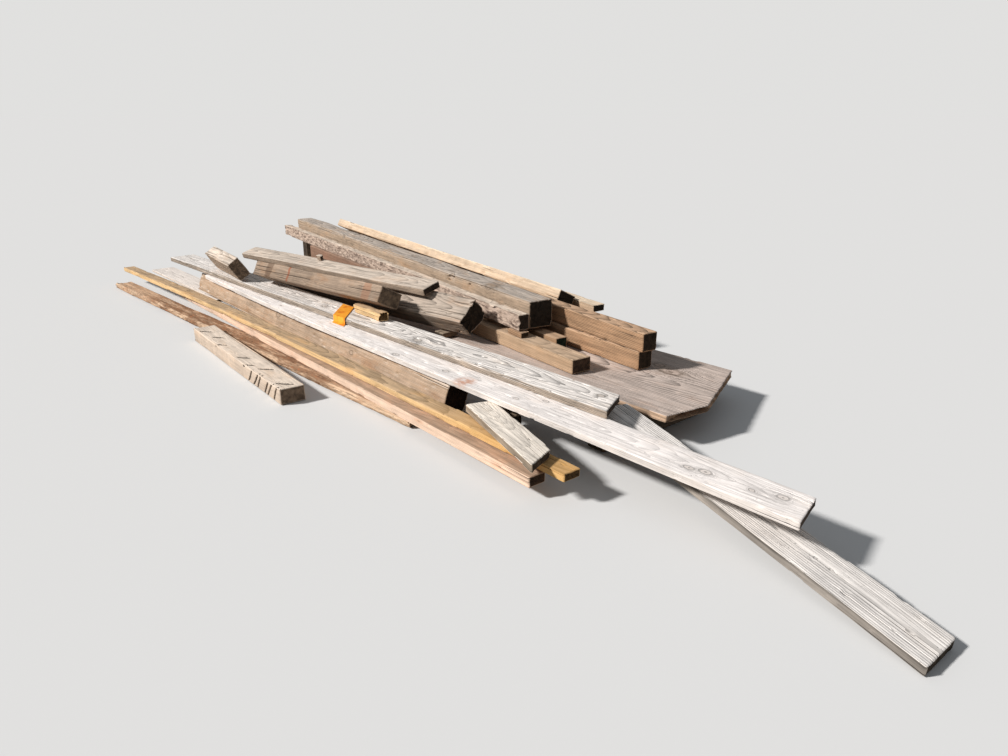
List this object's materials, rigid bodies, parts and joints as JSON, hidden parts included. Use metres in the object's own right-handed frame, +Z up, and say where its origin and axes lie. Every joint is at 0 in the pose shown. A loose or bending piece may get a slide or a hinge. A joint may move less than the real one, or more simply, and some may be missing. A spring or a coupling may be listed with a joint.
{
  "type": "heap of reclaimed timber",
  "caption": "Loose heap of weathered reclaimed timber: beams, planks, studs, offcuts and a wide slab.",
  "frame": {"origin": "on the ground, at the middle of the heap's box in plan", "axes": "+X along the timbers towards the heap's low tapering end, +Y across the heap away from the front, +Z up"},
  "size_m": [6.9372, 2.751, 0.4753],
  "materials": {
    "bark_wood": "rough, with bark",
    "brown_wood": "rough, weathered",
    "grey_wood": "rough, weathered",
    "orange_plastic": "matt",
    "pink_wood": "rough, weathered",
    "rotten_wood": "rough, rotten",
    "tan_wood": "rough, weathered",
    "white_grey_wood": "rough, bleached",
    "yellow_treated_wood": "rough, weathered"
  },
  "bodies": {
    "root": {"back_brown_beam": "brown_wood", "back_light_board": "white_grey_wood", "bark_beam": "bark_wood", "big_grey_beam": "grey_wood", "dark_board": "brown_wood", "far_bearer": "grey_wood", "far_sleeper": "grey_wood", "far_stub": "white_grey_wood", "far_white_plank": "white_grey_wood", "filler_block": "grey_wood", "front_beam": "brown_wood", "green_end_beam": "tan_wood", "grey_offcut": "white_grey_wood", "leaning_beam": "grey_wood", "long_white_plank": "white_grey_wood", "low_grey_plank": "white_grey_wood", "lower_brown_beam": "brown_wood", "middle_filler": "grey_wood", "middle_sleeper": "grey_wood", "near_sleeper": "grey_wood", "orange_tag": "orange_plastic", "packing_block": "grey_wood", "pale_stub": "white_grey_wood", "pink_stud": "pink_wood", "rear_lower": "grey_wood", "rear_upper": "grey_wood", "red_board": "brown_wood", "rotten_timber": "rotten_wood", "rough_white_plank": "white_grey_wood", "rust_striped_beam": "grey_wood", "short_block": "white_grey_wood", "split_board": "tan_wood", "tan_beam": "tan_wood", "top_plank": "white_grey_wood", "upper_brown_beam": "brown_wood", "wedge_block": "grey_wood", "wide_slab": "grey_wood", "yellow_stud": "yellow_treated_wood"}
  },
  "joints": []
}
